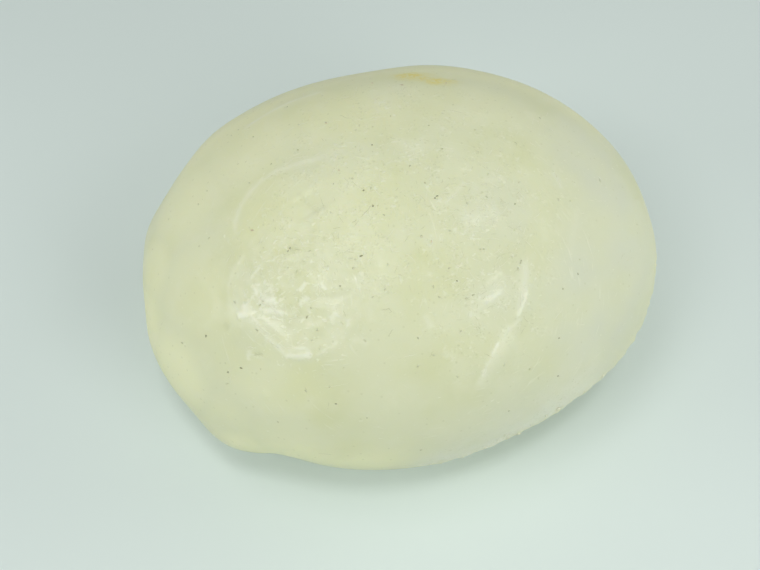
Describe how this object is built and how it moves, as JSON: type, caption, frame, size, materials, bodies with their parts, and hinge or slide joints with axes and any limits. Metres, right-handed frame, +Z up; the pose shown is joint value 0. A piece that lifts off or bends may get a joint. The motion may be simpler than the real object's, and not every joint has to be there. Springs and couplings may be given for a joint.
{
  "type": "mozzarella cheese",
  "caption": "Whole ball of fresh mozzarella: an uneven, slightly flattened egg of soft pale cheese with a smooth waxy skin, resting on a small flat spot.",
  "frame": {"origin": "middle of the ball's plan, at the height of the surface it rests on", "axes": "+X along the ball's longest way across, +Z up from its flat resting spot"},
  "size_m": [0.0966, 0.078, 0.0595],
  "materials": {
    "cheese_skin": "pale ivory curd skin, faintly yellow-green, waxy with a soft broken sheen, fine specks and rubbed marks"
  },
  "bodies": {
    "root": {"mozzarella": "cheese_skin"}
  },
  "joints": []
}
